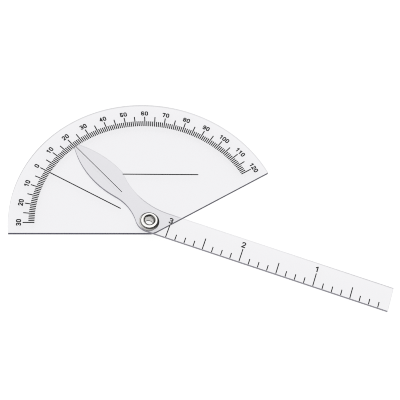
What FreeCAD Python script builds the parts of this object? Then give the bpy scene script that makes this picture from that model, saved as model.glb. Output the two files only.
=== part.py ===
"""Finger goniometer: a clear sector plate, a clear arm that is both pointer and rule, and the eyelet they turn on.

Frame: the origin is on the pivot axis, at the plate's underside. +Z points up, towards the printed faces.
+X runs along the plate's straight base edge and +Y points into the sector. Lengths are in millimetres.
A reading of 0 degrees has the arm's rule parallel to the base edge, and more flexion turns the arm clockwise.
"""
import FreeCAD, Part
import math
import os

import Sketcher
from FreeCAD import Placement, Rotation, Vector

SIZES = {
    # The two clear sheets, the print on them and the play between the layers
    "plate_thickness": 1.15,
    "arm_thickness": 1.0,
    "ink_thickness": 0.03,
    "layer_gap": 0.07,
    # Plate: its base edge and its far side pass the pivot at these distances, and its rim follows the scale
    "edge_offset": 3.79,
    "side_offset": 4.05,
    "rim_margin": 2.62,
    # Degree scale
    "scale_radius": 37.5,
    "degree_tick_length": 2.0,
    "five_tick_length": 3.86,
    "degree_tick_width": 0.38,
    "five_tick_width": 0.38,
    "numeral_gap": 0.48,
    "numeral_height": 1.65,
    "hyperextension_angle": 30.0,
    "flexion_angle": 120.0,
    "degree_step_angle": 1.0,
    "five_step_angle": 5.0,
    "numeral_step_angle": 10.0,
    # Long lines printed on the plate, placed in shares of the scale's radius
    "zero_start_share": 0.282,
    "level_height_share": 0.4905,
    "level_start_share": -0.2187,
    "level_length_share": 0.688,
    "zero_line_width": 0.38,
    "level_line_width": 0.38,
    # Arm: the rule
    "rule_below": 3.6,
    "rule_above": 5.05,
    "rule_start": 7.0,
    "inch_length": 25.4,
    "rule_margin": 0.3,
    "tick_margin": 0.05,
    "eighth_tick_length": 2.05,
    "half_tick_length": 4.1,
    "inch_tick_length": 4.75,
    "rule_tick_width": 0.35,
    "rule_numeral_gap": 0.45,
    "rule_numeral_height": 2.15,
    "rule_numeral_shift": 0.14,
    "inch_count": 3,
    "eighth_count": 8,
    # Arm: the hub round the pivot and the leaf-shaped pointer, whose bows are shares of the pointer's length
    "pointer_angle": 150.0,
    "pointer_overlap": 0.8,
    "tip_radius": 0.5,
    "left_bow_share": 0.7859,
    "left_width_share": 0.1052,
    "right_bow_share": 0.8877,
    "right_width_share": 0.1423,
    "corner_bow_share": 0.1044,
    "corner_reach_share": 0.528,
    "shoulder_bow_share": 0.6397,
    "neck_bow_share": 0.3943,
    "hub_radius": 5.3,
    "hub_start": 0.3,
    # The pointer's printed middle line, in shares of the scale's radius
    "index_start_share": 0.3707,
    "index_length_share": 0.6213,
    "index_offset_share": -0.0184,
    "index_line_width": 0.22,
    "index_tilt_angle": 1.67,
    "rest_angle": 20.5,
    # Eyelet and its backing washer
    "bore_radius": 1.45,
    "barrel_wall": 0.3,
    "head_radius": 3.38,
    "head_gap": 0.05,
    "tail_radius": 2.35,
    "barrel_clearance": 0.05,
    "washer_radius": 2.6,
    "washer_thickness": 0.25,
}

# Numerals: each stroke is drawn in shares of the numeral's height, about its centre. The skeleton allows for a
# stroke of the first share; the two scales are printed with pens of their own
STROKE_SHARE = 0.2
DEGREE_PEN_SHARE = 0.245
RULE_PEN_SHARE = 0.19
SPREAD_SHARE = 0.035
ADVANCE_SHARE = 0.79
BOWL_SHARE = (1 - STROKE_SHARE) / 4
TOP_SHARE = (1 - STROKE_SHARE) / 2
SIDE_SHARE = SPREAD_SHARE + BOWL_SHARE
FLAG_SHARES = (-0.17, 0.22)
STEM_SHARE = 0.07
FOUR_STEM_SHARE = 0.11
FOUR_BAR_SHARE = -0.19
FIVE_SIDE_SHARE = 0.19

# Positions on an edge, as the sketcher numbers them
START, END, CENTRE = range(1, 4)
UP = Vector(0, 0, 1)

document = FreeCAD.newDocument("finger_goniometer")
sheet = document.addObject("Spreadsheet::Sheet", "sizes")
for row, (alias, value) in enumerate(SIZES.items(), 1):
    sheet.set(f"A{row}", alias.replace("_", " "))
    sheet.set(f"B{row}", str(value))
    sheet.setAlias(f"B{row}", alias)
document.recompute()

# Heights of the layers and other sizes that follow from the sheet
ARM_LEVEL = "(sizes.plate_thickness + sizes.ink_thickness + sizes.layer_gap)"
ARM_TOP = f"({ARM_LEVEL} + sizes.arm_thickness)"
HEAD_LEVEL = f"({ARM_TOP} + sizes.head_gap)"
TAIL_LEVEL = "(-sizes.washer_thickness)"
BARREL_RADIUS = "(sizes.bore_radius + sizes.barrel_wall)"
HOLE_RADIUS = f"({BARREL_RADIUS} + sizes.barrel_clearance)"
NUMERAL_FOOT = "(sizes.scale_radius + sizes.five_tick_length + sizes.numeral_gap)"
RIM_RADIUS = f"({NUMERAL_FOOT} + sizes.numeral_height + sizes.rim_margin)"
SECTOR_ANGLE = "(sizes.hyperextension_angle + sizes.flexion_angle)"
SIDE_ANGLE = f"(180 - {SECTOR_ANGLE})"
CORNER_SHIFT = f"((sizes.side_offset - sizes.edge_offset) / sin({SIDE_ANGLE} * 1 deg))"
RULE_END = "(sizes.rule_start + sizes.inch_count * sizes.inch_length + sizes.rule_margin)"
POINTER_LENGTH = "(sizes.scale_radius + sizes.pointer_overlap)"
LEFT_BOW = f"({POINTER_LENGTH} * sizes.left_bow_share)"
LEFT_DEPTH = f"({LEFT_BOW} - {POINTER_LENGTH} * sizes.left_width_share)"
RIGHT_BOW = f"({POINTER_LENGTH} * sizes.right_bow_share)"
RIGHT_DEPTH = f"({RIGHT_BOW} - {POINTER_LENGTH} * sizes.right_width_share)"
CORNER_BOW = f"({POINTER_LENGTH} * sizes.corner_bow_share)"
CORNER_REACH = f"({POINTER_LENGTH} * sizes.corner_reach_share)"
SHOULDER_BOW = f"({POINTER_LENGTH} * sizes.shoulder_bow_share)"
NECK_BOW = f"({POINTER_LENGTH} * sizes.neck_bow_share)"


def number(expression):
    """Gives the value of an expression in the sheet's names."""
    return float(document.getObject("sizes").evalExpression(expression.replace("sizes.", "")))


def turned(angle, along, across=0.0):
    """Gives the point that lies along a direction, in degrees, and across it to the left."""
    return Rotation(UP, angle).multVec(Vector(along, across, 0))


def meeting(first, first_radius, second, second_radius, left):
    """Gives the crossing of two circles that lies to the left or right of the way from first to second."""
    span = second - first
    along = (first_radius**2 - second_radius**2 + span.Length**2) / (2 * span.Length)
    across = math.sqrt(first_radius**2 - along**2)
    angle = math.degrees(math.atan2(span.y, span.x))
    return first + turned(angle, along, across if left else -across)


def towards(start, target, distance):
    """Gives the point at a distance from start, on the line to target or, if negative, away from it."""
    return start + (target - start).normalize() * distance


# Sketches

def new_body(label):
    """Makes a body that carries one sub-part."""
    body = document.addObject("PartDesign::Body", label)
    body.Label = label
    return body


def new_sketch(body, name, plane="XY_Plane"):
    """Makes a sketch on one of the body's own origin planes."""
    sketch = body.newObject("Sketcher::SketchObject", name)
    origin_plane = next(item for item in body.Origin.OriginFeatures if item.Role == plane)
    sketch.AttachmentSupport = [(origin_plane, "")]
    sketch.MapMode = "FlatFace"
    return sketch


def line(sketch, start, end):
    """Draws a straight edge and gives its number with the positions of its two ends."""
    return sketch.addGeometry(Part.LineSegment(start, end)), START, END


def arc(sketch, centre, start, end, clockwise=False):
    """Draws a round edge from start to end, and gives its number with the positions of its two ends."""
    first, last = (end, start) if clockwise else (start, end)
    angles = [math.atan2(point.y - centre.y, point.x - centre.x) for point in (first, last)]
    if angles[1] <= angles[0]:
        angles[1] += 2 * math.pi
    circle = Part.Circle(centre, UP, first.distanceToPoint(centre))
    edge = sketch.addGeometry(Part.ArcOfCircle(circle, *angles))
    return (edge, END, START) if clockwise else (edge, START, END)


def join(sketch, edges, smooth=()):
    """Joins each edge to the next, and the last to the first. Joints listed in smooth are tangent."""
    for place, (edge, _, leaving) in enumerate(edges):
        following, arriving, _ = edges[(place + 1) % len(edges)]
        kind = "Tangent" if place in smooth else "Coincident"
        sketch.addConstraint(Sketcher.Constraint(kind, edge, leaving, following, arriving))


def dimension(sketch, name, expression, kind, *places):
    """Adds a named dimension that follows an expression."""
    value = number(expression)
    if kind == "Angle":
        value = math.radians(value)
        expression = f"({expression}) * 1 deg"
    index = sketch.addConstraint(Sketcher.Constraint(kind, *places, value))
    sketch.renameConstraint(index, name)
    sketch.setExpression(f"Constraints.{name}", expression)


def pad(body, sketch, thickness):
    """Raises a sketch into a slab."""
    feature = body.newObject("PartDesign::Pad", f"{sketch.Name}_pad")
    feature.Profile = sketch
    feature.setExpression("Length", thickness)
    return feature


def place(item, level, angle="0"):
    """Sets an object at a height, turned about the pivot axis."""
    item.Placement = Placement(Vector(0, 0, number(level)), Rotation(UP, number(angle)))
    item.setExpression("Placement.Base.z", level)
    item.setExpression("Placement.Rotation.Angle", f"({angle}) * 1 deg")


def pivot_hole(body):
    """Cuts the hole that the eyelet's barrel passes through."""
    sketch = new_sketch(body, f"{body.Name}_hole")
    radius = number(HOLE_RADIUS)
    edge = sketch.addGeometry(Part.Circle(Vector(), UP, radius))
    sketch.addConstraint(Sketcher.Constraint("Coincident", edge, CENTRE, -1, START))
    dimension(sketch, "hole", HOLE_RADIUS, "Radius", edge)
    hole = body.newObject("PartDesign::Pocket", f"{body.Name}_pocket")
    hole.Profile = sketch
    hole.Type = "ThroughAll"
    hole.Midplane = True


# The clear plate

def make_plate():
    """Sector plate: two straight edges beside the pivot, a corner tangent to both and a rim round the scale."""
    body = new_body("protractor_plate")
    sketch = new_sketch(body, "plate_outline")
    rim, base_offset, side_offset = (number(size) for size in (RIM_RADIUS, "sizes.edge_offset", "sizes.side_offset"))
    far_direction = number(SIDE_ANGLE)
    shift = number(CORNER_SHIFT)
    pivot, bend = Vector(), turned(far_direction, shift)
    base_start = Vector(-math.sqrt(rim**2 - base_offset**2), -base_offset, 0)
    base_end = Vector(bend.x, -base_offset, 0)
    side_start = turned(far_direction, shift, -side_offset)
    side_end = turned(far_direction, math.sqrt(rim**2 - side_offset**2), -side_offset)
    edges = [
        line(sketch, base_start, base_end),
        arc(sketch, bend, base_end, side_start),
        line(sketch, side_start, side_end),
        arc(sketch, pivot, side_end, base_start),
    ]
    join(sketch, edges, smooth=(0, 1))
    base, corner, side, outer = (edge[0] for edge in edges)
    sketch.addConstraint(Sketcher.Constraint("Coincident", outer, CENTRE, -1, START))
    sketch.addConstraint(Sketcher.Constraint("Horizontal", base))
    dimension(sketch, "base", "-sizes.edge_offset", "DistanceY", -1, START, base, END)
    dimension(sketch, "corner", "sizes.side_offset", "Radius", corner)
    dimension(sketch, "side_distance", "sizes.side_offset", "Distance", -1, START, side)
    dimension(sketch, "rim", RIM_RADIUS, "Radius", outer)
    dimension(sketch, "side", SIDE_ANGLE, "Angle", -1, side)
    pad(body, sketch, "sizes.plate_thickness")
    pivot_hole(body)
    place(body, "0")
    return body


# The clear arm

def make_arm():
    """One-piece arm: a straight rule with a square end, and a leaf-shaped pointer at an angle to it.

    Its frame has +X along the rule, away from the pivot. The pointer's sides and hub are arcs, each tangent
    to the next.
    """
    body = new_body("pointer_arm")
    sketch = new_sketch(body, "arm_outline")
    below, above = number("sizes.rule_below"), number("sizes.rule_above")
    rule_end = number(RULE_END)
    angle = number("sizes.pointer_angle")
    tip_radius, hub_radius = number("sizes.tip_radius"), number("sizes.hub_radius")
    left_radius, right_radius = number(LEFT_BOW), number(RIGHT_BOW)
    corner_radius, shoulder_radius, neck_radius = number(CORNER_BOW), number(SHOULDER_BOW), number(NECK_BOW)

    # Centres of the arcs, from the tip down each side of the leaf
    reach = number(POINTER_LENGTH) - tip_radius
    tip = turned(angle, reach)
    left_depth = number(LEFT_DEPTH)
    left = turned(angle, reach - math.sqrt((left_radius - tip_radius) ** 2 - left_depth**2), -left_depth)
    right_depth = number(RIGHT_DEPTH)
    right = turned(angle, reach - math.sqrt((right_radius - tip_radius) ** 2 - right_depth**2), right_depth)
    hub = Vector(number("sizes.hub_start"), hub_radius - below, 0)
    neck = meeting(hub, hub_radius + neck_radius, left, left_radius + neck_radius, left=True)
    corner = meeting(Vector(), number(CORNER_REACH), right, right_radius - corner_radius, left=False)
    rise = above + shoulder_radius - corner.y
    shoulder = corner + Vector(math.sqrt((shoulder_radius + corner_radius) ** 2 - rise**2), rise, 0)

    # Joints between the edges, from the rule's lower side round its end and the leaf, back to the hub
    rule_low_start, rule_low_end = Vector(hub.x, -below, 0), Vector(rule_end, -below, 0)
    rule_top_end, rule_top_start = Vector(rule_end, above, 0), Vector(shoulder.x, above, 0)
    shoulder_corner = towards(shoulder, corner, shoulder_radius)
    corner_right = towards(right, corner, right_radius)
    right_tip = towards(right, tip, right_radius)
    left_tip = towards(left, tip, left_radius)
    left_neck = towards(left, neck, left_radius)
    neck_hub = towards(hub, neck, hub_radius)
    edges = [
        line(sketch, rule_low_start, rule_low_end),
        line(sketch, rule_low_end, rule_top_end),
        line(sketch, rule_top_end, rule_top_start),
        arc(sketch, shoulder, rule_top_start, shoulder_corner, clockwise=True),
        arc(sketch, corner, shoulder_corner, corner_right),
        arc(sketch, right, corner_right, right_tip),
        arc(sketch, tip, right_tip, left_tip),
        arc(sketch, left, left_tip, left_neck),
        arc(sketch, neck, left_neck, neck_hub, clockwise=True),
        arc(sketch, hub, neck_hub, rule_low_start),
    ]
    join(sketch, edges, smooth=(2, 3, 4, 5, 6, 7, 8, 9))
    (low_side, end_side, top_side, shoulder_arc, corner_arc,
     right_arc, tip_arc, left_arc, neck_arc, hub_arc) = (edge[0] for edge in edges)

    # The pointer's middle line, from the pivot to the centre of the tip
    middle = sketch.addGeometry(Part.LineSegment(Vector(), tip), True)
    sketch.addConstraint(Sketcher.Constraint("Coincident", middle, START, -1, START))
    sketch.addConstraint(Sketcher.Constraint("Coincident", middle, END, tip_arc, CENTRE))
    sketch.addConstraint(Sketcher.Constraint("Horizontal", low_side))
    sketch.addConstraint(Sketcher.Constraint("Vertical", end_side))
    sketch.addConstraint(Sketcher.Constraint("Horizontal", top_side))
    dimension(sketch, "rule_below", "-sizes.rule_below", "DistanceY", -1, START, low_side, END)
    dimension(sketch, "rule_above", "sizes.rule_above", "DistanceY", -1, START, end_side, END)
    dimension(sketch, "rule_end", RULE_END, "DistanceX", -1, START, low_side, END)
    dimension(sketch, "pointer_angle", "sizes.pointer_angle", "Angle", -1, middle)
    dimension(sketch, "pointer_reach", f"{POINTER_LENGTH} - sizes.tip_radius", "Distance", middle)
    dimension(sketch, "tip_radius", "sizes.tip_radius", "Radius", tip_arc)
    dimension(sketch, "left_bow", LEFT_BOW, "Radius", left_arc)
    dimension(sketch, "left_depth", LEFT_DEPTH, "Distance", left_arc, CENTRE, middle)
    dimension(sketch, "right_bow", RIGHT_BOW, "Radius", right_arc)
    dimension(sketch, "right_depth", RIGHT_DEPTH, "Distance", right_arc, CENTRE, middle)
    dimension(sketch, "corner_bow", CORNER_BOW, "Radius", corner_arc)
    dimension(sketch, "corner_reach", CORNER_REACH, "Distance", -1, START, corner_arc, CENTRE)
    dimension(sketch, "shoulder_bow", SHOULDER_BOW, "Radius", shoulder_arc)
    dimension(sketch, "neck_bow", NECK_BOW, "Radius", neck_arc)
    dimension(sketch, "hub_radius", "sizes.hub_radius", "Radius", hub_arc)
    dimension(sketch, "hub_start", "sizes.hub_start", "DistanceX", -1, START, hub_arc, CENTRE)
    pad(body, sketch, "sizes.arm_thickness")
    pivot_hole(body)
    place(body, ARM_LEVEL, "-sizes.rest_angle")
    return body


# The metal pivot

def make_eyelet():
    """Hollow rivet: a barrel with a rounded head above the arm and a rolled tail under the washer."""
    body = new_body("pivot_eyelet")
    sketch = new_sketch(body, "eyelet_section", "XZ_Plane")
    bore, barrel = number("sizes.bore_radius"), number(BARREL_RADIUS)
    head, tail = number("sizes.head_radius"), number("sizes.tail_radius")
    top, bottom = number(HEAD_LEVEL), number(TAIL_LEVEL)
    bore_foot, bore_top = Vector(bore, bottom, 0), Vector(bore, top, 0)
    head_rim, head_root = Vector(head, top, 0), Vector(barrel, top, 0)
    tail_root, tail_rim = Vector(barrel, bottom, 0), Vector(tail, bottom, 0)
    edges = [
        line(sketch, bore_foot, bore_top),
        arc(sketch, (bore_top + head_rim) / 2, bore_top, head_rim, clockwise=True),
        line(sketch, head_rim, head_root),
        line(sketch, head_root, tail_root),
        line(sketch, tail_root, tail_rim),
        arc(sketch, (tail_rim + bore_foot) / 2, tail_rim, bore_foot, clockwise=True),
    ]
    join(sketch, edges, smooth=(0, 5))
    bore_side, head_arc, head_side, barrel_side, tail_side, tail_arc = (edge[0] for edge in edges)
    sketch.addConstraint(Sketcher.Constraint("Vertical", bore_side))
    sketch.addConstraint(Sketcher.Constraint("Vertical", barrel_side))
    sketch.addConstraint(Sketcher.Constraint("Horizontal", head_side))
    sketch.addConstraint(Sketcher.Constraint("Horizontal", tail_side))
    dimension(sketch, "bore", "sizes.bore_radius", "DistanceX", -1, START, bore_side, START)
    dimension(sketch, "barrel", BARREL_RADIUS, "DistanceX", -1, START, barrel_side, START)
    dimension(sketch, "head", "sizes.head_radius", "DistanceX", -1, START, head_side, START)
    dimension(sketch, "tail", "sizes.tail_radius", "DistanceX", -1, START, tail_side, END)
    dimension(sketch, "top", HEAD_LEVEL, "DistanceY", -1, START, head_side, START)
    dimension(sketch, "foot", TAIL_LEVEL, "DistanceY", -1, START, tail_side, START)
    sketch.addConstraint(Sketcher.Constraint("Horizontal", bore_side, END, head_side, END))
    sketch.addConstraint(Sketcher.Constraint("Horizontal", bore_side, START, tail_side, START))
    turn = body.newObject("PartDesign::Revolution", "eyelet_turn")
    turn.Profile = sketch
    turn.ReferenceAxis = (sketch, ["V_Axis"])
    turn.Angle = 360
    place(body, "0")
    return body


def make_washer():
    """Flat backing ring between the plate's underside and the eyelet's rolled tail."""
    disc = document.addObject("Part::Cylinder", "washer_disc")
    disc.setExpression("Radius", "sizes.washer_radius")
    disc.setExpression("Height", "sizes.washer_thickness")
    hole = document.addObject("Part::Cylinder", "washer_hole")
    hole.setExpression("Radius", HOLE_RADIUS)
    hole.setExpression("Height", "sizes.washer_thickness")
    ring = document.addObject("Part::Cut", "eyelet_washer")
    ring.Label = "eyelet_washer"
    ring.Base = disc
    ring.Tool = hole
    place(ring, TAIL_LEVEL)
    return ring


# Printed ticks

def tick_sketch(body, name, start, length, width, upright):
    """Draws one tick: across the way of the X axis if upright, or else along it."""
    sketch = new_sketch(body, name)
    along = [number(start[0]), number(start[0])]
    across = [number(start[1]), number(start[1])]
    half = number(width) / 2
    if upright:
        along = [along[0] - half, along[1] + half]
        across[1] += number(length)
    else:
        along[0] -= number(length)
        across = [across[0] - half, across[1] + half]
    corners = [Vector(along[a], across[b], 0) for a, b in ((0, 0), (1, 0), (1, 1), (0, 1))]
    edges = [line(sketch, corners[k], corners[(k + 1) % 4]) for k in range(4)]
    join(sketch, edges)
    low, far, high, near = (edge[0] for edge in edges)
    for kind, edge in (("Horizontal", low), ("Vertical", far), ("Horizontal", high), ("Vertical", near)):
        sketch.addConstraint(Sketcher.Constraint(kind, edge))
    if upright:
        dimension(sketch, "near", f"{start[0]} - {width} / 2", "DistanceX", -1, START, low, START)
        dimension(sketch, "foot", start[1], "DistanceY", -1, START, low, START)
        dimension(sketch, "width", width, "Distance", low)
        dimension(sketch, "length", length, "Distance", far)
    else:
        dimension(sketch, "near", start[0], "DistanceX", -1, START, far, START)
        dimension(sketch, "foot", f"{start[1]} - {width} / 2", "DistanceY", -1, START, far, START)
        dimension(sketch, "width", width, "Distance", far)
        dimension(sketch, "length", length, "Distance", low)
    return sketch


def origin_axis(body, role):
    """Finds one of the body's own axes."""
    return next(item for item in body.Origin.OriginFeatures if item.Role == role)


def make_degree_ticks():
    """Degree scale: a short tick at every degree, and a longer one at every fifth, as one print."""
    body = new_body("degree_ticks")
    for name, step in (("degree_tick", "sizes.degree_step_angle"), ("five_tick", "sizes.five_step_angle")):
        sketch = tick_sketch(body, name, ("-sizes.scale_radius", "0"),
                             f"sizes.{name}_length", f"sizes.{name}_width", upright=False)
        tick = pad(body, sketch, "sizes.ink_thickness")
        pattern = body.newObject("PartDesign::PolarPattern", f"{name}_pattern")
        pattern.Originals = [tick]
        pattern.Axis = (origin_axis(body, "Z_Axis"), [""])
        pattern.Reversed = True
        pattern.setExpression("Angle", f"{SECTOR_ANGLE} * 1 deg")
        pattern.setExpression("Occurrences", f"round({SECTOR_ANGLE} / {step}) + 1")
        body.Tip = pattern
        document.recompute()
    place(body, "sizes.plate_thickness")
    return body


def make_rule_ticks():
    """Rule: a short tick at every eighth of an inch, and longer ones at the halves and the inches."""
    body = new_body("rule_ticks")
    eighth = "(sizes.inch_length / sizes.eighth_count)"
    inches = "(sizes.inch_count - 1) * sizes.inch_length"
    eighths = f"(sizes.inch_count * sizes.eighth_count - 1) * {eighth}"
    foot = "(sizes.tick_margin - sizes.rule_below)"
    for name, start, span, count in (
        ("eighth_tick", "sizes.rule_start", eighths, "sizes.inch_count * sizes.eighth_count"),
        ("half_tick", "(sizes.rule_start + sizes.inch_length / 2)", inches, "sizes.inch_count"),
        ("inch_tick", "sizes.rule_start", inches, "sizes.inch_count"),
    ):
        sketch = tick_sketch(body, name, (start, foot), f"sizes.{name}_length",
                             "sizes.rule_tick_width", upright=True)
        tick = pad(body, sketch, "sizes.ink_thickness")
        pattern = body.newObject("PartDesign::LinearPattern", f"{name}_pattern")
        pattern.Originals = [tick]
        pattern.Direction = (origin_axis(body, "X_Axis"), [""])
        pattern.setExpression("Length", span)
        pattern.setExpression("Occurrences", count)
        body.Tip = pattern
        document.recompute()
    place(body, ARM_TOP, "-sizes.rest_angle")
    return body


# Printed lines

def make_line(label, start, length, width, level, angle):
    """Makes one printed line: a thin box whose start is a point along and across the direction of the line."""
    strip = document.addObject("Part::Box", label)
    strip.Label = label
    strip.setExpression("Length", length)
    strip.setExpression("Width", width)
    strip.setExpression("Height", "sizes.ink_thickness")
    along, across = start
    turn = f"({angle}) * 1 deg"
    side = f"({across} - {width} / 2)"
    strip.Placement = Placement(Vector(), Rotation(UP, number(angle)))
    strip.setExpression("Placement.Rotation.Angle", turn)
    strip.setExpression("Placement.Base.x", f"{along} * cos({turn}) - {side} * sin({turn})")
    strip.setExpression("Placement.Base.y", f"{along} * sin({turn}) + {side} * cos({turn})")
    strip.setExpression("Placement.Base.z", level)
    return strip


def make_lines():
    """The zero line, the level line over the base edge, and the pointer's index line."""
    zero_direction = "(180 - sizes.hyperextension_angle)"
    index_direction = "(sizes.pointer_angle + sizes.index_tilt_angle - sizes.rest_angle)"
    zero_start, level_height, level_start, level_length, index_start, index_length, index_offset = (
        f"(sizes.scale_radius * sizes.{name}_share)"
        for name in ("zero_start", "level_height", "level_start", "level_length",
                     "index_start", "index_length", "index_offset"))
    return [
        make_line("zero_line", (zero_start, "0"), f"sizes.scale_radius - {zero_start}",
                  "sizes.zero_line_width", "sizes.plate_thickness", zero_direction),
        make_line("level_line", (level_start, level_height), level_length,
                  "sizes.level_line_width", "sizes.plate_thickness", "0"),
        make_line("index_line", (index_start, index_offset), index_length,
                  "sizes.index_line_width", ARM_TOP, index_direction),
    ]


# Printed numerals

def pen_path(steps, height, closed=False):
    """Joins points and bends into one wire. A bend is a centre and two angles, turned at the bowl's radius."""
    edges = []
    ends = []
    for step in steps:
        spot = Vector(step[0], step[1], 0) * height
        if len(step) == 2:
            ends.append((spot, spot))
            continue
        radius = BOWL_SHARE * height
        first, middle, last = (spot + turned(a, radius) for a in (step[2], (step[2] + step[3]) / 2, step[3]))
        ends.append((first, last))
        edges.append(Part.Arc(first, middle, last).toShape())
    pairs = list(zip(ends, ends[1:] + ends[:1]))
    for (_, leaving), (arriving, _) in pairs if closed else pairs[:-1]:
        if leaving.distanceToPoint(arriving) > BOWL_SHARE * height / 1000:
            edges.append(Part.LineSegment(leaving, arriving).toShape())
    return Part.Wire(Part.__sortEdges__(edges))


def pen_stroke(steps, height, pen_share, closed=False):
    """Makes the flat face of one stroke of the pen."""
    path = pen_path(steps, height, closed)
    half = pen_share * height / 2
    if closed:
        return Part.Face(path.makeOffset2D(half)).cut(Part.Face(path.makeOffset2D(-half)))
    if len(path.Edges) > 1:
        return path.makeOffset2D(half, 0, True)
    # A single straight edge lies in no plane of its own, so its outline is drawn with two round ends
    first, last = (corner.Point for corner in path.Vertexes)
    along = (last - first).normalize() * half
    aside = Rotation(UP, 90).multVec(along)
    return Part.Face(Part.Wire([
        Part.LineSegment(first - aside, last - aside).toShape(),
        Part.Arc(last - aside, last + along, last + aside).toShape(),
        Part.LineSegment(last + aside, first + aside).toShape(),
        Part.Arc(first + aside, first - along, first - aside).toShape(),
    ]))


def ring(middle):
    """A closed bowl about a height."""
    return [(SPREAD_SHARE, middle, -90, 90), (-SPREAD_SHARE, middle, 90, 270)]


def digit_strokes(digit):
    """Lists the strokes of a digit as pairs of steps and whether the stroke is closed."""
    bowl, spread, side, top = BOWL_SHARE, SPREAD_SHARE, SIDE_SHARE, TOP_SHARE
    six_stem = [(-side, -bowl), (-spread, bowl, 180, 90), (spread, bowl, 90, 30)]
    return {
        "0": [([(spread, bowl, 0, 90), (-spread, bowl, 90, 180),
                (-spread, -bowl, 180, 270), (spread, -bowl, 270, 360)], True)],
        "1": [([FLAG_SHARES, (STEM_SHARE, top), (STEM_SHARE, -top)], False)],
        "2": [([(-spread, bowl, 165, 90), (spread, bowl, 90, -40), (-side, -top), (side, -top)], False)],
        "3": [([(-spread, bowl, 150, 90), (spread, bowl, 90, -90), (-spread, 0)], False),
              ([(-spread, 0), (spread, -bowl, 90, -90), (-spread, -bowl, -90, -150)], False)],
        "4": [([(FOUR_STEM_SHARE, -top), (FOUR_STEM_SHARE, top)], False),
              ([(FOUR_STEM_SHARE, top), (-side, FOUR_BAR_SHARE), (side, FOUR_BAR_SHARE)], False)],
        "5": [([(side, top), (-FIVE_SIDE_SHARE, top), (-spread, -bowl, 140, 90),
                (spread, -bowl, 90, -90), (-spread, -bowl, -90, -150)], False)],
        "6": [(ring(-bowl), True), (six_stem, False)],
        "7": [([(-side, top), (side, top), (-spread, -top)], False)],
        "8": [(ring(bowl), True), (ring(-bowl), True)],
        "9": [(ring(bowl), True), ([(side, bowl), (spread, -bowl, 0, -90), (-spread, -bowl, -90, -150)], False)],
    }[digit]


def make_digit(digit, height, depth, pen_share):
    """Makes one digit as a thin solid about the middle of its height."""
    slabs = [pen_stroke(steps, height, pen_share, closed).extrude(Vector(0, 0, depth))
             for steps, closed in digit_strokes(digit)]
    solid = slabs[0]
    for slab in slabs[1:]:
        solid = solid.fuse(slab)
    return solid.removeSplitter().Solids[0]


def write_number(text, height, depth, pen_share, centre, angle, cache):
    """Sets the digits of a number side by side about a centre, with their tops in the direction of angle."""
    solids = []
    for index, digit in enumerate(text):
        if digit not in cache:
            cache[digit] = make_digit(digit, height, depth, pen_share)
        shift = (index - (len(text) - 1) / 2) * ADVANCE_SHARE * height
        turn = Placement(centre, Rotation(UP, angle - 90))
        solids.append(cache[digit].transformed(turn.multiply(Placement(Vector(shift, 0, 0), Rotation())).toMatrix()))
    return solids


def make_degree_numerals():
    """Numerals at every tenth degree, outside their ticks, with their feet towards the pivot."""
    height, depth = SIZES["numeral_height"], SIZES["ink_thickness"]
    step = SIZES["numeral_step_angle"]
    radius = number(NUMERAL_FOOT) + height / 2
    digits, cache = [], {}
    count = round(number(SECTOR_ANGLE) / step) + 1
    for index in range(count):
        reading = round(index * step - SIZES["hyperextension_angle"])
        direction = 180 - index * step
        centre = turned(direction, radius)
        digits += write_number(str(abs(reading)), height, depth, DEGREE_PEN_SHARE, centre, direction, cache)
    numerals = document.addObject("Part::Feature", "degree_numerals")
    numerals.Label = "degree_numerals"
    numerals.Shape = Part.makeCompound(digits)
    place(numerals, "sizes.plate_thickness")
    return numerals


def make_rule_numerals():
    """Inch numerals over the inch ticks, counted from the arm's free end."""
    height, depth = SIZES["rule_numeral_height"], SIZES["ink_thickness"]
    middle = number("sizes.tick_margin - sizes.rule_below + sizes.inch_tick_length + sizes.rule_numeral_gap")
    middle += height / 2
    digits, cache = [], {}
    for index in range(SIZES["inch_count"]):
        mark = SIZES["rule_start"] + index * SIZES["inch_length"]
        centre = Vector(mark - SIZES["rule_numeral_shift"], middle, 0)
        digits += write_number(str(SIZES["inch_count"] - index), height, depth, RULE_PEN_SHARE, centre, 90, cache)
    numerals = document.addObject("Part::Feature", "rule_numerals")
    numerals.Label = "rule_numerals"
    numerals.Shape = Part.makeCompound(digits)
    place(numerals, ARM_TOP, "-sizes.rest_angle")
    return numerals


def check(parts):
    """Stops if any object failed or any sub-part has no sound shape."""
    for item in document.Objects:
        if {"Invalid", "Error"} & set(item.State):
            raise RuntimeError(f"{item.Name} failed: {item.State}")
    for part in parts:
        if part.Shape.isNull() or not part.Shape.isValid() or not part.Shape.Solids:
            raise RuntimeError(f"{part.Label} has no sound shape")


sub_parts = [make_plate(), make_arm(), make_eyelet(), make_washer(), make_degree_ticks(), make_degree_numerals(),
             make_rule_ticks(), make_rule_numerals(), *make_lines()]
document.recompute()
check(sub_parts)
os.makedirs("parts", exist_ok=True)
for part in sub_parts:
    part.Shape.exportStep(f"parts/{part.Label}.step")
    box = part.Shape.BoundBox
    print(f"{part.Label}: {len(part.Shape.Solids)} solids, {part.Shape.Volume:.3f} mm3, "
          f"{box.XLength:.2f} x {box.YLength:.2f} x {box.ZLength:.2f} mm")
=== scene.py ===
"""Finger goniometer: finishes, metal pieces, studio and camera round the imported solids.

Everything is in metres, in the solids' own frame: the pivot axis is +Z through the origin, and the plate's
underside is at z = 0. Sizes in the classes below are in millimetres and are turned into metres as they are
used, apart from the studio's floor and clip distance. Angles are in degrees, apart from those of the
scratches. A noise pattern's scale is its number of lumps to the metre.
"""

import logging
import math
from dataclasses import dataclass
from enum import Enum
from typing import Any, Mapping, Optional, Sequence, Union

import bmesh
import bpy
from mathutils import Matrix, Quaternion, Vector


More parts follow.
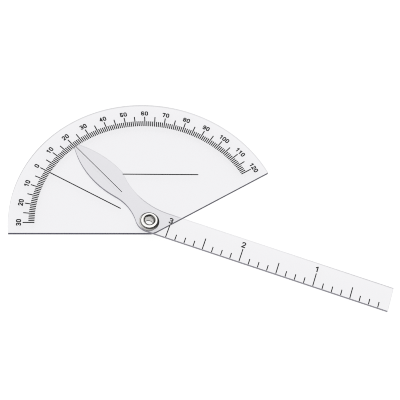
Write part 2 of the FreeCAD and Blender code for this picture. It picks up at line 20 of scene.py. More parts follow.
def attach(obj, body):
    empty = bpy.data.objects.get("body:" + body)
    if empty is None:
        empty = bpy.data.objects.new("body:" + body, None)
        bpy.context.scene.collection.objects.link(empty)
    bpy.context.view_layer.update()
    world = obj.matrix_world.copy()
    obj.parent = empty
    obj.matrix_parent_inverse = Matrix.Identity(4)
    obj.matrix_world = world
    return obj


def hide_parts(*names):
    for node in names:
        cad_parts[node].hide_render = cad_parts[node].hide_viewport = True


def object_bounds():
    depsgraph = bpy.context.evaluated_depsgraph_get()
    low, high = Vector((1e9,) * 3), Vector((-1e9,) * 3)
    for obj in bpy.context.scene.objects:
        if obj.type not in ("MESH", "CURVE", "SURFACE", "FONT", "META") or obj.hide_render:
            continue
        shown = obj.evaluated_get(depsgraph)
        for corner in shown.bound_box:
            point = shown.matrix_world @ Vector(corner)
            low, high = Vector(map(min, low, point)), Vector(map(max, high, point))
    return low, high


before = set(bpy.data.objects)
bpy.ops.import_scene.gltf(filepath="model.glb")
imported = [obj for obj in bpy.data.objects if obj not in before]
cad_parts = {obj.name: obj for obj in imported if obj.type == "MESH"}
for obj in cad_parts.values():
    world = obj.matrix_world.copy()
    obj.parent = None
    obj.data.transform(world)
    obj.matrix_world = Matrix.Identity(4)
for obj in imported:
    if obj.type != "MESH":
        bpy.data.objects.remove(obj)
CAD_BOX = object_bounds()

MM = 0.001
FULL_TURN = 2 * math.pi
UP = Vector((0, 0, 1))
ORIGIN = Vector((0, 0, 0))
EVEN = Vector((1, 1, 1))

# The height of a face's unit normal, from where the face counts as upright to where it counts as flat.
UPRIGHT_TO_FLAT = (0.2, 0.8)

# How many finer layers a noise pattern has.
SMOOTH = 1.0
PLAIN = 2.0
FINE = 3.0

log = logging.getLogger("goniometer")

Colour = tuple[float, float, float]
Direction = tuple[float, float, float]
Point = tuple[float, float]
Span = tuple[float, float]

WHITE: Colour = (1.0, 1.0, 1.0)


class Body(Enum):
    """The bodies that the new pieces ride on."""

    PLATE = "plate"


class Slot(Enum):
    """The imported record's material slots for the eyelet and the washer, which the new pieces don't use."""

    EYELET = "eyelet_metal"
    WASHER = "washer_metal"


class Measure(Enum):
    """What the hidden share of a cut edge is measured along."""

    ACROSS = "x"
    FROM_PIVOT = "radius"


class Ray(Enum):
    """The kinds of ray that a material may tell apart."""

    CAMERA = "Is Camera Ray"
    SHADOW = "Is Shadow Ray"
    DIFFUSE = "Is Diffuse Ray"
    GLOSSY = "Is Glossy Ray"
    TRANSMISSION = "Is Transmission Ray"


# Node trees


class Signal:
    """A number in a node tree, so that shader maths is written as Python expressions."""

    def __init__(self, tree: "FinishTree", socket: bpy.types.NodeSocket) -> None:
        """Wraps a socket.

        Args:
            tree: The tree that the socket belongs to.
            socket: The output socket that carries the number.
        """
        self.tree = tree
        self.socket = socket

    def _maths(self, operation: str, first: "Value", second: "Value") -> "Signal":
        """Adds one Math node.

        Args:
            operation: The node's operation.
            first: The first number.
            second: The second number.

        Returns:
            The node's result.
        """
        node = self.tree.node("ShaderNodeMath", {"operation": operation}, {0: first, 1: second})
        return Signal(self.tree, node.outputs[0])

    def __add__(self, other: "Value") -> "Signal":
        """Gives the sum."""
        return self._maths("ADD", self, other)

    def __radd__(self, other: "Value") -> "Signal":
        """Gives the sum with a plain number on the left."""
        return self._maths("ADD", other, self)

    def __sub__(self, other: "Value") -> "Signal":
        """Gives the difference."""
        return self._maths("SUBTRACT", self, other)

    def __rsub__(self, other: "Value") -> "Signal":
        """Gives the difference with a plain number on the left."""
        return self._maths("SUBTRACT", other, self)

    def __mul__(self, other: "Value") -> "Signal":
        """Gives the product."""
        return self._maths("MULTIPLY", self, other)

    def __rmul__(self, other: "Value") -> "Signal":
        """Gives the product with a plain number on the left."""
        return self._maths("MULTIPLY", other, self)

    def __pow__(self, power: "Value") -> "Signal":
        """Gives the power."""
        return self._maths("POWER", self, power)

    def __abs__(self) -> "Signal":
        """Gives the size without its sign."""
        return self._maths("ABSOLUTE", self, 0.0)

    def at_most(self, limit: "Value") -> "Signal":
        """Gives the number, or the limit where that is less."""
        return self._maths("MINIMUM", self, limit)

    def angle_from(self, other: "Value") -> "Signal":
        """Gives the angle, in radians, whose tangent is this number over the other."""
        return self._maths("ARCTAN2", self, other)

    def stepped(self, low: float, high: float) -> "Signal":
        """Gives 0 below one number, 1 above another and a smooth step between them.

        Args:
            low: The number below which the result is 0.
            high: The number above which it is 1.

        Returns:
            The step.
        """
        node = self.tree.node(
            "ShaderNodeMapRange",
            {"interpolation_type": "SMOOTHSTEP"},
            {"Value": self, "From Min": low, "From Max": high},
        )
        return Signal(self.tree, node.outputs["Result"])


Value = Union[Signal, float]


class FinishTree:
    """The node tree of one material or of the world."""

    def __init__(self, owner: Union[bpy.types.Material, bpy.types.World]) -> None:
        """Empties the owner's tree.

        Args:
            owner: The material or world that the tree belongs to.
        """
        owner.use_nodes = True
        self.nodes = owner.node_tree.nodes
        self.links = owner.node_tree.links
        self.nodes.clear()

    def node(
        self,
        kind: str,
        settings: Optional[Mapping[str, Any]] = None,
        inputs: Optional[Mapping[Union[int, str], Any]] = None,
    ) -> bpy.types.Node:
        """Adds a node.

        Args:
            kind: The node's type.
            settings: The node's own settings, which are set first.
            inputs: A value, a socket or a signal for each named or numbered input.

        Returns:
            The node.
        """
        node = self.nodes.new(kind)
        for name, value in (settings or {}).items():
            setattr(node, name, value)
        for key, value in (inputs or {}).items():
            self._feed(node.inputs[key], value)
        return node

    def _feed(self, socket: bpy.types.NodeSocket, value: Any) -> None:
        """Links an input, or sets its value.

        Args:
            socket: The input socket.
            value: A signal, a socket, a colour of three numbers or a plain value.
        """
        if isinstance(value, Signal):
            self.links.new(value.socket, socket)
        elif isinstance(value, bpy.types.NodeSocket):
            self.links.new(value, socket)
        elif socket.type == "RGBA" and len(value) == 3:
            socket.default_value = (*value, 1.0)
        else:
            socket.default_value = value

    def signal(self, node: bpy.types.Node, output: Union[int, str]) -> Signal:
        """Gives one output of a node as a signal."""
        return Signal(self, node.outputs[output])

    def place(self) -> tuple[Signal, Signal, Signal]:
        """Finds where a point on the surface is, in object coordinates.

        Returns:
            The coordinates along x, y and z, in metres.
        """
        where = self.node("ShaderNodeTexCoord")
        split = self.node("ShaderNodeSeparateXYZ", {}, {0: where.outputs["Object"]})
        return self.signal(split, 0), self.signal(split, 1), self.signal(split, 2)

    def stretched(self, scale: Vector, turn: float = 0.0) -> bpy.types.NodeSocket:
        """Gives object coordinates, turned about +Z and then scaled.

        Args:
            scale: How much each axis is scaled.
            turn: The angle in radians.

        Returns:
            The coordinates' socket.
        """
        where = self.node("ShaderNodeTexCoord")
        kind = {"vector_type": "POINT"}
        turned = self.node("ShaderNodeMapping", kind, {0: where.outputs["Object"], "Rotation": (0, 0, turn)})
        scaled = self.node("ShaderNodeMapping", kind, {0: turned.outputs[0], "Scale": scale})
        return scaled.outputs[0]

    def noise(self, where: bpy.types.NodeSocket, scale: float, detail: float = PLAIN) -> Signal:
        """Gives a noise pattern from 0 to 1.

        Args:
            where: The coordinates.
            scale: How many lumps the pattern has to each unit of the coordinates.
            detail: How many finer layers it has.

        Returns:
            The pattern.
        """
        node = self.node("ShaderNodeTexNoise", {}, {"Vector": where, "Scale": scale, "Detail": detail})
        return self.signal(node, 0)

    def upright(self) -> Signal:
        """Tells upright faces from flat ones.

        Returns:
            1 on faces that stand upright and 0 on faces that lie flat.
        """
        face = self.node("ShaderNodeNewGeometry")
        split = self.node("ShaderNodeSeparateXYZ", {}, {0: face.outputs["True Normal"]})
        return 1 - abs(self.signal(split, 2)).stepped(*UPRIGHT_TO_FLAT)

    def ray(self, *kinds: Ray) -> Signal:
        """Tells kinds of ray apart.

        Args:
            kinds: The kinds that are looked for.

        Returns:
            1 for rays of any of these kinds, and 0 for others.
        """
        path = self.node("ShaderNodeLightPath")
        total = self.signal(path, kinds[0].value)
        for kind in kinds[1:]:
            total = total + self.signal(path, kind.value)
        return total.at_most(1.0)

    def blend(self, share: Value, first: Colour, second: Colour) -> bpy.types.NodeSocket:
        """Mixes two colours.

        Args:
            share: The second colour's share.
            first: The first colour.
            second: The second colour.

        Returns:
            The mixed colour's socket.
        """
        node = self.node("ShaderNodeMix", {"data_type": "RGBA"}, {0: share, 6: first, 7: second})
        return node.outputs[2]

    def mixed(self, share: Value, first: bpy.types.Node, second: bpy.types.Node) -> bpy.types.Node:
        """Mixes two shaders.

        Args:
            share: The second shader's share.
            first: The first shader's node.
            second: The second shader's node.

        Returns:
            The Mix Shader node.
        """
        return self.node("ShaderNodeMixShader", {}, {0: share, 1: first.outputs[0], 2: second.outputs[0]})

    def bump(self, height: Signal, distance: float, strength: float = 1.0) -> bpy.types.NodeSocket:
        """Turns a height pattern into a normal.

        Args:
            height: The pattern, from 0 to 1.
            distance: The height of 1, in metres.
            strength: The share of the bump that is used.

        Returns:
            The normal's socket.
        """
        node = self.node(
            "ShaderNodeBump", {}, {"Strength": strength, "Distance": distance, "Height": height}
        )
        return node.outputs[0]

    def show(self, shader: bpy.types.Node) -> None:
        """Sends a surface shader to the material's output."""
        self.node("ShaderNodeOutputMaterial", {}, {"Surface": shader.outputs[0]})


# Finishes


def reach(x: Signal, y: Signal, centre: Point = (0.0, 0.0)) -> Signal:
    """Gives the distance from an upright axis through a centre."""
    across, ahead = x - centre[0], y - centre[1]
    return (across * across + ahead * ahead) ** 0.5


@dataclass(frozen=True)
class ClearPlastic:
    """Clear polished sheet, whose cut edges look dark from outside and fainter from within.

    From outside, a cut edge has painted shade, a dark colour in place of the dark that a clear edge shows by
    refraction and internal reflection, and it hides the share edge_cover of what lies behind it. From within,
    only its upper part hides anything, and it fades in over rim_levels. Its share changes along the sheet:
    from near_cover to rim_cover over near_reach, and from there to far_cover over far_reach.
    """

    name: str
    tint: Colour
    # The cut edges' colour and covers are painted shade, in place of the dark that a clear edge shows by
    # refraction and internal reflection.
    edge_shade_colour: Colour
    edge_cover: float
    near_cover: float
    rim_cover: float
    far_cover: float
    rim_levels: Span
    measure: Measure = Measure.FROM_PIVOT
    near_reach: Span = (8.0, 12.0)
    far_reach: Span = (36.0, 84.0)
    shade: Colour = (0.96, 0.96, 0.965)
    ior: float = 1.49
    roughness: float = 0.02
    # Each set of scratches has an angle in radians and a scale.
    scratch_sets: tuple[tuple[float, float], ...] = ((0.35, 1300.0), (1.45, 1700.0), (2.6, 1500.0))
    scratch_stretch: Direction = (0.06, 1.0, 1.0)
    scratch_edge: Span = (0.66, 0.74)
    scratch_roughness: float = 0.10
    scratch_sheen: float = 0.02
    wave_scale: float = 60.0
    wave_height: float = 0.0006
    cut_scale: float = 5200.0
    cut_stretch: Direction = (1.0, 1.0, 0.05)
    cut_height: float = 0.004
    cut_roughness: float = 0.3
    cut_spread: float = 0.2

    def _scratches(self, tree: FinishTree) -> Signal:
        """Makes fine straight handling scratches in three directions.

        Args:
            tree: The material's tree.

        Returns:
            1 in a scratch and 0 beside it.
        """
        layers = []
        for turn, scale in self.scratch_sets:
            where = tree.stretched(Vector(self.scratch_stretch), turn)
            layers.append(tree.noise(where, scale, FINE).stepped(*self.scratch_edge))
        return sum(layers).at_most(1.0)

    def _rim(self, tree: FinishTree) -> Signal:
        """Makes the pattern of how much a cut edge's painted shade hides from within, where the real sheet
        looks thinner.

        Args:
            tree: The material's tree.

        Returns:
            The share of what lies behind the edge that it hides.
        """
        x, y, height = (axis * (1 / MM) for axis in tree.place())
        along = x if self.measure is Measure.ACROSS else reach(x, y)
        beyond = along.stepped(*self.near_reach) * (self.rim_cover - self.near_cover)
        far = along.stepped(*self.far_reach) * (self.far_cover - self.rim_cover)
        return (beyond + far + self.near_cover) * height.stepped(*self.rim_levels)

    def _mirror(self, tree: FinishTree, scratches: Signal, normal: bpy.types.NodeSocket) -> bpy.types.Node:
        """Makes the polish.

        Args:
            tree: The material's tree.
            scratches: Where the sheet is scratched.
            normal: The sheet's slightly wavy normal.

        Returns:
            The gloss shader's node.
        """
        roughness = self.roughness + scratches * self.scratch_roughness
        return tree.node(
            "ShaderNodeBsdfGlossy", {}, {"Color": WHITE, "Roughness": roughness, "Normal": normal}
        )

    def material(self) -> bpy.types.Material:
        """Makes the material.

        Returns:
            The material.
        """
        made = bpy.data.materials.new(self.name)
        tree = FinishTree(made)
        edge = tree.upright()
        face = tree.node("ShaderNodeNewGeometry")
        outside = 1 - tree.signal(face, "Backfacing")
        scratches = self._scratches(tree) * (1 - edge)
        waves = tree.noise(tree.stretched(EVEN), self.wave_scale, SMOOTH)
        cuts = tree.noise(tree.stretched(Vector(self.cut_stretch)), self.cut_scale)
        normal = tree.bump(waves * self.wave_height + edge * cuts * self.cut_height, MM)
        mirror = self._mirror(tree, scratches, normal)
        through = tree.node("ShaderNodeBsdfTransparent", {}, {"Color": self.tint})
        fresnel = tree.node("ShaderNodeFresnel", {}, {"IOR": self.ior, "Normal": normal})
        sheen = tree.signal(fresnel, 0) * outside + scratches * self.scratch_sheen * outside
        faces = tree.mixed(sheen.at_most(1.0), through, mirror)
        # Painted shade on the cut edges: a dark colour in place of the dark that a clear edge shows by
        # refraction and internal reflection.
        cut = tree.node(
            "ShaderNodeBsdfPrincipled",
            {},
            {
                "Base Color": self.edge_shade_colour,
                "Roughness": self.cut_roughness + cuts * self.cut_spread,
                "IOR": self.ior,
                "Normal": normal,
            },
        )
        rim = self._rim(tree)
        # How much of the painted edge shade shows: a fixed share from outside, and the rim pattern from
        # within.
        cover = edge * (outside * (self.edge_cover - rim) + rim)
        sheet = tree.mixed(cover, faces, cut)
        window = tree.node("ShaderNodeBsdfTransparent", {}, {"Color": self.shade})
        tree.show(tree.mixed(tree.ray(Ray.SHADOW, Ray.DIFFUSE), sheet, window))
        return made


@dataclass(frozen=True)
class PrintingInk:
    """Black screen print: satin, very slightly uneven in thickness."""

    name: str
    colour: Colour = (0.008, 0.008, 0.010)
    thin_colour: Colour = (0.02, 0.02, 0.024)
    thin_edge: Span = (0.45, 0.75)
    body_scale: float = 1400.0
    grain_scale: float = 9000.0
    grain_height: float = 0.003
    grain_strength: float = 0.6
    roughness: float = 0.42
    roughness_spread: float = 0.16

    def material(self) -> bpy.types.Material:
        """Makes the material.

        Returns:
            The material.
        """
        made = bpy.data.materials.new(self.name)
        tree = FinishTree(made)
        where = tree.stretched(EVEN)
        body = tree.noise(where, self.body_scale, FINE)
        grain = tree.noise(where, self.grain_scale)
        shader = tree.node(
            "ShaderNodeBsdfPrincipled",
            {},
            {
                "Base Color": tree.blend(body.stepped(*self.thin_edge), self.colour, self.thin_colour),
                "Roughness": self.roughness + (grain - 0.5) * self.roughness_spread,
                "Normal": tree.bump(grain, self.grain_height * MM, self.grain_strength),
            },
        )
        tree.show(shader)
        return made


@dataclass(frozen=True)
class ShadeRing:
    """A ring of painted shade and painted reflection on the metal, with one colour on its bright side and
    another on its dark side.
    """

    inner: float
    outer: float
    bright_side: Colour
    dark_side: Colour
    centre: Point = (0.0, 0.0)


@dataclass(frozen=True)
class NickelPlate:
    """Nickel on pressed brass, bright or dull, with fine turning marks and rings of painted shade and painted
    reflection.

    A ring's colour changes to that of its dark side along ring_side, over ring_fade: painted shade on the
    side away from the light. The rings keep above ring_level. Below foot_level, the wall within foot_radius
    has the foot's colour of painted shade.
    """

    name: str
    colour: Colour
    patch_colour: Colour
    roughness: float
    metallic: float = 1.0
    patch_scale: float = 700.0
    patch_edge: Span = (0.5, 0.8)
    patch_share: float = 0.4
    patch_roughness: float = 0.05
    mark_scale: float = 6.0
    mark_arc: float = 0.6
    mark_height: float = 0.004
    mark_strength: float = 0.5
    mark_roughness: float = 0.07
    # Rings of painted shade and painted reflection, each darker on the side away from the light.
    rings: tuple[ShadeRing, ...] = ()
    ring_side: Point = (0.9, -0.43)
    ring_fade: Span = (-2.0, 1.2)
    ring_level: float = 0.0
    ring_blur: float = 0.05
    ring_cover: float = 0.8
    ring_patches: float = 0.3
    foot_radius: float = 0.0
    foot_level: float = 0.0
    # The colour of the painted shade at the foot of the bore.
    foot_shade_colour: Colour = (0.08, 0.078, 0.075)

    def _colour(self, tree: FinishTree, place: Sequence[Signal], patches: Signal) -> bpy.types.NodeSocket:
        """Makes the metal's colour, with rings and a foot band of painted shade and painted reflection.

        Args:
            tree: The material's tree.
            place: The point's three coordinates, in millimetres.
            patches: A pattern of large soft patches.

        Returns:
            The colour's socket.
        """
        x, y, height = place
        dulled = patches.stepped(*self.patch_edge) * self.patch_share
        metal = tree.blend(dulled, self.colour, self.patch_colour)
        above = height.stepped(self.ring_level - self.ring_blur, self.ring_level)
        # Painted shade: each ring turns to its dark-side colour on the side away from the light.
        shaded_side = (x * self.ring_side[0] + y * self.ring_side[1]).stepped(*self.ring_fade)
        cover = above * (self.ring_cover + patches * self.ring_patches)
        for ring in self.rings:
            radius = reach(x, y, ring.centre)
            start = radius.stepped(ring.inner - self.ring_blur, ring.inner + self.ring_blur)
            end = radius.stepped(ring.outer - self.ring_blur, ring.outer + self.ring_blur)
            ring_shade = tree.blend(shaded_side, ring.bright_side, ring.dark_side)
            metal = tree.blend(cover * start * (1 - end), metal, ring_shade)
        # Painted shade: a dark band round the foot of the bore.
        inside = 1 - reach(x, y).stepped(self.foot_radius, self.foot_radius + self.ring_blur)
        foot = 1 - height.stepped(self.foot_level - self.ring_blur, self.foot_level + self.ring_blur)
        return tree.blend(inside * foot, metal, self.foot_shade_colour)

    def material(self) -> bpy.types.Material:
        """Makes the material.

        Returns:
            The material.
        """
        made = bpy.data.materials.new(self.name)
        tree = FinishTree(made)
        x, y, z = (axis * (1 / MM) for axis in tree.place())
        around = tree.node(
            "ShaderNodeCombineXYZ",
            {},
            {0: reach(x, y) * self.mark_scale, 1: z * self.mark_scale, 2: x.angle_from(y) * self.mark_arc},
        )
        marks = tree.noise(around.outputs[0], 1.0, FINE)
        patches = tree.noise(tree.stretched(EVEN), self.patch_scale)
        shader = tree.node(
            "ShaderNodeBsdfPrincipled",
            {},
            {
                "Base Color": self._colour(tree, (x, y, z), patches),
                "Metallic": self.metallic,
                "Roughness": self.roughness + marks * self.mark_roughness + patches * self.patch_roughness,
                "Normal": tree.bump(marks, self.mark_height * MM, self.mark_strength),
            },
        )
        tree.show(shader)
        return made


# Sub-assemblies


def dress(node: str, material: bpy.types.Material) -> None:
    """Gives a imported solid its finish.

    Args:
        node: The solid's name.
        material: Its finish.
    """
    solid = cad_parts[node]
    solid.data.materials.clear()
    solid.data.materials.append(material)
    log.info("dressed %s in %s", node, material.name)


def turned_piece(name: str, profile: Sequence[Point], segments: int) -> bpy.types.Object:
    """Spins a closed profile about the pivot axis.

    Args:
        name: The piece's name.
        profile: Points of radius and height in millimetres, in order round the section.
        segments: How many steps the turn has.

    Returns:
        The piece.
    """
    shape = bmesh.new()
    corners = [shape.verts.new((radius * MM, 0.0, height * MM)) for radius, height in profile]
    pairs = zip(corners, corners[1:] + corners[:1])
    section = [shape.edges.new(pair) for pair in pairs]
    bmesh.ops.spin(
        shape,
        geom=corners + section,
        cent=ORIGIN,
        axis=UP,
        angle=FULL_TURN,
        steps=segments,
        use_merge=True,
    )
    bmesh.ops.recalc_face_normals(shape, faces=shape.faces)
    mesh = bpy.data.meshes.new(name)
    shape.to_mesh(mesh)
    shape.free()
    mesh.shade_smooth()
    piece = bpy.data.objects.new(name, mesh)
    bpy.context.scene.collection.objects.link(piece)
    return piece


def arc(
    centre: Point, across: float, up: float, first: float, last: float, steps: int, fullness: float = 2.0
) -> list[Point]:
    """Gives the points of an elliptic arc in a section.

    Args:
        centre: The ellipse's centre.
        across: Its half width.
        up: Its half height.
        first: The angle of the first point, in degrees from the outward direction.
        last: The angle of the last point.
        steps: How many steps the arc has.
        fullness: 2 for an ellipse, and more for an arc that is squarer at its shoulders.

    Returns:
        The points, both ends included.
    """
    points = []
    for step in range(steps + 1):
        angle = math.radians(first + (last - first) * step / steps)
        out, rise = math.cos(angle), math.sin(angle)
        width = math.copysign(abs(out) ** (2 / fullness), out)
        height = math.copysign(abs(rise) ** (2 / fullness), rise)
        points.append((centre[0] + across * width, centre[1] + up * height))
    return points


def straight(start: Point, end: Point, shares: Sequence[float] = (0.06, 0.5, 0.94)) -> list[Point]:
    """Gives points on the line between two points, so that the faces along it are shaded flat.

    Args:
        start: The line's start.
        end: The line's end.
        shares: Where the points are, in shares of the line's length.

    Returns:
        The points, without the two ends.
    """
    across, up = end[0] - start[0], end[1] - start[1]
    return [(start[0] + across * share, start[1] + up * share) for share in shares]


@dataclass
class SectorPlate:
    """The clear plate with its printed degree scale."""

    sheet: str = "protractor_plate"
    print_nodes: tuple[str, ...] = ("degree_ticks", "degree_numerals", "zero_line", "level_line")

    def build(self) -> None:
        """Dresses the plate and its print."""
        clear = ClearPlastic(
            name="plate_sheet",
            tint=(0.9358, 0.9343, 0.9430),
            # Painted shade on the plate's cut edges: a near-black colour and how much of it shows along the
            # sheet.
            edge_shade_colour=(0.011, 0.009, 0.062),
            edge_cover=0.98,
            near_cover=0.42,
            rim_cover=0.25,
            far_cover=0.18,
            rim_levels=(0.15, 0.75),
            measure=Measure.ACROSS,
            near_reach=(-38.0, -26.0),
            far_reach=(0.0, 18.0),
        )
        dress(self.sheet, clear.material())
        ink = PrintingInk("plate_print").material()
        for node in self.print_nodes:
            dress(node, ink)


@dataclass
class PointerArm:
    """The clear bent arm: leaf-shaped pointer, hub and printed rule."""

    sheet: str = "pointer_arm"
    print_nodes: tuple[str, ...] = ("rule_ticks", "rule_numerals", "index_line")

    def build(self) -> None:
        """Dresses the arm and its print."""
        clear = ClearPlastic(
            name="arm_sheet",
            tint=(0.9370, 0.9352, 0.9430),
            # Painted shade on the arm's cut edges: a grey colour and how much of it shows along the sheet.
            edge_shade_colour=(0.35, 0.34, 0.41),
            edge_cover=0.95,
            near_cover=0.46,
            rim_cover=0.12,
            far_cover=0.42,
            rim_levels=(1.35, 1.90),
        )
        dress(self.sheet, clear.material())
        ink = PrintingInk("arm_print").material()
        for node in self.print_nodes:
            dress(node, ink)


@dataclass
class PivotEyelet:
    """The hollow rivet that both sheets turn on, with an open bore, a rounded ridge and a rolled tail.

    Points of the mouth and the crest are radii and heights over the arm's upper face. The head is moved by
    head_shift, and the mouth by mouth_shift as well. A dark line of painted shade, foot_line high, runs round
    the bore's foot.
    """

    lip_radius: float = 1.45
    lip_height: float = 0.07
    wall_radius: float = 1.50
    barrel_radius: float = 1.75
    head_level: float = 2.30
    mouth_foot: Point = (1.55, 0.42)
    mouth_ease: float = 0.1
    mouth_top: Point = (1.89, 0.82)
    shoulder_drop: float = 0.02
    crest: Point = (2.24, 0.93)
    ridge_radius: float = 2.95
    ridge_foot: float = 0.26
    ridge_fullness: float = 2.8
    flange_radius: float = 3.38
    flange_edge: float = 0.04
    tail_radius: float = 2.35
    tail_level: float = -0.25
    head_shift: Point = (0.08, -0.10)
    mouth_shift: Point = (0.17, 0.25)
    foot_line: float = 0.30
    ease_steps: int = 4
    edge_steps: int = 6
    shoulder_steps: int = 10
    arc_steps: int = 20
    segments: int = 128
    sharp_angle: float = 50.0

    def _over_arm(self, spot: Point) -> Point:
        """Turns a height over the arm into a level."""
        return spot[0], self.head_level + spot[1]

    def _mouth(self) -> list[Point]:
        """Draws the ease over the bore's wall, the sloping mouth and the ridge's inner shoulder.

        Returns:
            Points of radius and height.
        """
        foot, top, crest = (self._over_arm(spot) for spot in (self.mouth_foot, self.mouth_top, self.crest))
        ease = arc(
            centre=(foot[0], foot[1] - self.mouth_ease),
            across=foot[0] - self.wall_radius,
            up=self.mouth_ease,
            first=180,
            last=120,
            steps=self.ease_steps,
        )
        level = top[1] - self.shoulder_drop
        shoulder = arc(
            centre=(crest[0], level),
            across=crest[0] - top[0],
            up=crest[1] - level,
            first=170,
            last=90,
            steps=self.shoulder_steps,
        )
        return ease + straight(ease[-1], shoulder[0]) + shoulder

    def _ridge(self) -> list[Point]:
        """Draws the ridge's outer side from its crest down, the flange and the flange's rounded edge.

        Returns:
            Points of radius and height.
        """
        crest = self._over_arm(self.crest)
        level = self.head_level + self.ridge_foot
        outer = arc(
            centre=(crest[0], level),
            across=self.ridge_radius - crest[0],
            up=crest[1] - level,
            first=90,
            last=0,
            steps=self.arc_steps,
            fullness=self.ridge_fullness,
        )
        edge = self.flange_edge
        rim = arc(
            centre=(self.flange_radius - edge, self.head_level + edge),
            across=edge,
            up=edge,
            first=60,
            last=-90,
            steps=self.edge_steps,
        )
        return outer[1:] + straight(outer[-1], rim[0]) + rim

    def _tail(self) -> list[Point]:
        """Draws the barrel and the rolled tail.

        Returns:
            Points of radius and height.
        """
        barrel = [(self.barrel_radius, self.head_level), (self.barrel_radius, self.tail_level)]
        middle = (self.tail_radius + self.lip_radius) / 2
        half = self.tail_radius - middle
        roll = arc((middle, self.tail_level), half, half, first=0, last=-180, steps=self.arc_steps)
        return barrel + roll[:-1]

    def _profile(self) -> list[Point]:
        """Draws the section, in order from the lip at the foot of the bore.

        Returns:
            Points of radius and height.
        """
        lip = arc(
            centre=(self.wall_radius, self.tail_level),
            across=self.wall_radius - self.lip_radius,
            up=self.lip_height,
            first=180,
            last=90,
            steps=self.edge_steps,
        )
        return lip + self._mouth() + self._ridge() + self._tail()

    def _set_head(self, mesh: bpy.types.Mesh) -> None:
        """Moves the head a little off centre, as hand setting leaves it, and its mouth a little further.

        Args:
            mesh: The eyelet's mesh.
        """
        shape = bmesh.new()
        shape.from_mesh(mesh)
        for corner in shape.verts:
            radius, height = corner.co.xy.length / MM, corner.co.z / MM
            if height < self.head_level:
                continue
            inner = (radius - self.wall_radius) / (self.mouth_foot[0] - self.wall_radius)
            outer = (self.ridge_radius - radius) / (self.ridge_radius - self.crest[0])
            whole = max(0.0, min(1.0, inner))
            share = max(0.0, min(1.0, inner, outer))
            corner.co.xy += (Vector(self.head_shift) * whole + Vector(self.mouth_shift) * share) * MM
        shape.to_mesh(mesh)
        shape.free()

    def build(self) -> bpy.types.Object:
        """Makes the eyelet, which takes the place of its plain solid.

        Returns:
            The piece.
        """
        piece = turned_piece("eyelet_shell", self._profile(), self.segments)
        self._set_head(piece.data)
        finish = NickelPlate(
            name="eyelet_nickel",
            colour=(0.93, 0.92, 0.90),
            patch_colour=(0.80, 0.79, 0.76),
            roughness=0.08,
            # The rings are painted shade and painted reflection: dark bands where the metal would mirror dark
            # surroundings, darker on the side away from the light, and a darker bore.
            rings=(
                ShadeRing(0.0, 1.56, (0.62, 0.61, 0.59), (0.62, 0.61, 0.59)),
                ShadeRing(1.56, 2.02, (0.55, 0.54, 0.52), (0.10, 0.095, 0.09)),
                ShadeRing(2.74, 3.02, (0.36, 0.35, 0.34), (0.10, 0.095, 0.09), self.head_shift),
                ShadeRing(3.02, 4.0, (0.58, 0.57, 0.55), (0.42, 0.41, 0.39), self.head_shift),
            ),
            ring_level=self.tail_level,
            # The bore's foot takes a band of painted shade.
            foot_radius=self.wall_radius,
            foot_level=self.tail_level + self.foot_line,
        )
        piece.data.materials.append(finish.material())
        piece.data.set_sharp_from_angle(angle=math.radians(self.sharp_angle))
        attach(piece, Body.PLATE.value)
        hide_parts("pivot_eyelet")
        log.info("built %s", piece.name)
        return piece


@dataclass
class BackingWasher:
    """The flat ring between the plate and the eyelet's rolled tail."""

    hole_radius: float = 1.8
    outer_radius: float = 2.6
    thickness: float = 0.25
    gap: float = 0.02
    ease: float = 0.05
    segments: int = 128
    sharp_angle: float = 30.0

    def _profile(self) -> list[Point]:
        """Draws the section with its corners eased.

        Returns:
            Points of radius and height.
        """
        low, high = -self.thickness, -self.gap
        inner, outer, ease = self.hole_radius, self.outer_radius, self.ease
        return [
            (inner, low + ease),
            (inner, high - ease),
            (inner + ease, high),
            (outer - ease, high),
            (outer, high - ease),
            (outer, low + ease),
            (outer - ease, low),
            (inner + ease, low),
        ]

    def build(self) -> bpy.types.Object:
        """Makes the washer, which takes the place of its plain solid.

        Returns:
            The piece.
        """
        piece = turned_piece("washer_ring", self._profile(), self.segments)
        finish = NickelPlate(
            name="washer_nickel",
            colour=(0.96, 0.96, 0.97),
            patch_colour=(0.90, 0.90, 0.91),
            roughness=0.5,
            metallic=0.0,
        )
        piece.data.materials.append(finish.material())
        piece.data.set_sharp_from_angle(angle=math.radians(self.sharp_angle))
        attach(piece, Body.PLATE.value)
        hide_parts("eyelet_washer")
        log.info("built %s", piece.name)
        return piece


# Studio


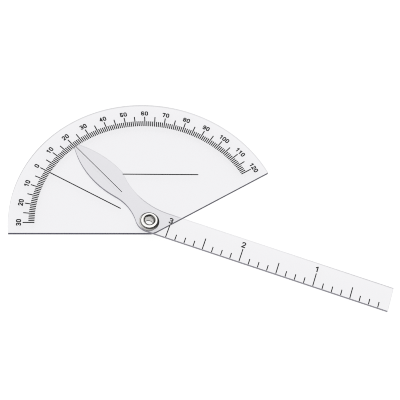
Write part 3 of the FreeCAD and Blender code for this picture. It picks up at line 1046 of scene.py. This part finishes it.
@dataclass
class Studio:
    """White floor, even white surroundings with one soft box above and behind, and the camera."""

    floor_size: float = 6.0
    floor_colour: Colour = (0.16, 0.16, 0.16)
    floor_glow: float = 0.857
    fill: float = 0.88
    box_direction: Direction = (-0.10, 0.32, 0.94)
    box_angle: float = 46.0
    box_edge: float = 6.0
    box_level: float = 1.06
    dark_level: float = 0.05
    left_side: Point = (0.9, 0.35)
    left_fade: Span = (-0.95, -0.45)
    left_level: float = 0.35
    lamp_direction: Direction = (-0.25, 0.55, 1.0)
    lamp_angle: float = 50.0
    lamp_strength: float = 0.5
    lens: float = 106.0
    sensor: float = 36.0
    clip_start: float = 0.01
    filter_width: float = 1.0
    clear_layers: int = 32
    light_bounces: int = 8
    azimuth: float = -14.829
    elevation: float = 61.188
    roll: float = 13.320
    distance: float = 396.717
    target: Direction = (17.6258, 8.6160, 1.1690)

    def build(self) -> None:
        """Makes the studio."""
        self._camera()
        self._floor()
        self._surroundings()
        self._lamp()
        scene = bpy.context.scene
        scene.view_settings.view_transform = "Standard"
        scene.cycles.use_denoising = False
        scene.cycles.filter_width = self.filter_width
        scene.cycles.transparent_max_bounces = self.clear_layers
        scene.cycles.min_transparent_bounces = self.clear_layers
        scene.cycles.min_light_bounces = self.light_bounces

    def _camera(self) -> None:
        """Sets the camera at the photograph's angle."""
        azimuth, elevation = math.radians(self.azimuth), math.radians(self.elevation)
        back = Vector(
            (
                math.sin(azimuth) * math.cos(elevation),
                -math.cos(azimuth) * math.cos(elevation),
                math.sin(elevation),
            )
        )
        data = bpy.data.cameras.new("camera")
        data.lens = self.lens
        data.sensor_width = self.sensor
        data.clip_start = self.clip_start
        camera = bpy.data.objects.new("camera", data)
        camera.rotation_mode = "QUATERNION"
        camera.rotation_quaternion = back.to_track_quat("Z", "Y") @ Quaternion(UP, math.radians(self.roll))
        camera.location = (Vector(self.target) + back * self.distance) * MM
        bpy.context.scene.collection.objects.link(camera)
        bpy.context.scene.camera = camera

    def _floor(self) -> None:
        """Makes the floor that the eyelet's tail stands on."""
        shape = bmesh.new()
        level = Matrix.Translation((0.0, 0.0, CAD_BOX[0].z))
        bmesh.ops.create_grid(shape, x_segments=1, y_segments=1, size=self.floor_size / 2, matrix=level)
        mesh = bpy.data.meshes.new("floor")
        shape.to_mesh(mesh)
        shape.free()
        floor = bpy.data.objects.new("floor", mesh)
        bpy.context.scene.collection.objects.link(floor)
        made = bpy.data.materials.new("floor_white")
        tree = FinishTree(made)
        matt = tree.node("ShaderNodeBsdfDiffuse", {}, {"Color": self.floor_colour})
        seen = tree.ray(Ray.CAMERA, Ray.GLOSSY, Ray.TRANSMISSION)
        glow = tree.node("ShaderNodeEmission", {}, {"Strength": seen * self.floor_glow})
        both = tree.node("ShaderNodeAddShader", {}, {0: matt.outputs[0], 1: glow.outputs[0]})
        tree.show(both)
        mesh.materials.append(made)

    def _surroundings(self) -> None:
        """Sets the world: white to the camera, even for matt surfaces, and a studio for what mirrors."""
        world = bpy.data.worlds.new("studio")
        bpy.context.scene.world = world
        tree = FinishTree(world)
        where = tree.node("ShaderNodeTexCoord")
        direction = where.outputs["Generated"]
        split = tree.node("ShaderNodeSeparateXYZ", {}, {0: direction})
        side, ahead, height = (tree.signal(split, axis) for axis in range(3))
        centre = Vector(self.box_direction).normalized()
        facing = side * centre.x + ahead * centre.y + height * centre.z
        edges = (self.box_angle + self.box_edge, self.box_angle - self.box_edge)
        outer, inner = (math.cos(math.radians(angle)) for angle in edges)
        box = facing.stepped(outer, inner)
        left = 1 - (side * self.left_side[0] + ahead * self.left_side[1]).stepped(*self.left_fade)
        beside = left * self.left_level + self.dark_level
        brightness = box * self.box_level + (1 - box) * beside
        mirrored = tree.ray(Ray.GLOSSY, Ray.TRANSMISSION)
        plain = tree.node("ShaderNodeBackground", {}, {"Color": WHITE, "Strength": self.fill})
        studio = tree.node("ShaderNodeBackground", {}, {"Color": WHITE, "Strength": brightness})
        white = tree.node("ShaderNodeBackground", {}, {"Color": WHITE, "Strength": 1.0})
        lit = tree.mixed(mirrored, plain, studio)
        seen = tree.mixed(tree.ray(Ray.CAMERA), lit, white)
        tree.node("ShaderNodeOutputWorld", {}, {"Surface": seen.outputs[0]})
        world.cycles.sampling_method = "NONE"

    def _lamp(self) -> None:
        """Adds the wide soft light from above and behind."""
        data = bpy.data.lights.new("soft_light", "SUN")
        data.angle = math.radians(self.lamp_angle)
        data.energy = self.lamp_strength
        lamp = bpy.data.objects.new("soft_light", data)
        lamp.visible_glossy = False
        lamp.rotation_mode = "QUATERNION"
        lamp.rotation_quaternion = Vector(self.lamp_direction).to_track_quat("Z", "Y")
        bpy.context.scene.collection.objects.link(lamp)


def main() -> None:
    """Builds the studio and every sub-assembly, in order."""
    logging.basicConfig(level=logging.INFO, format="%(message)s")
    Studio().build()
    SectorPlate().build()
    PointerArm().build()
    PivotEyelet().build()
    BackingWasher().build()


if __name__ == "__main__":
    main()
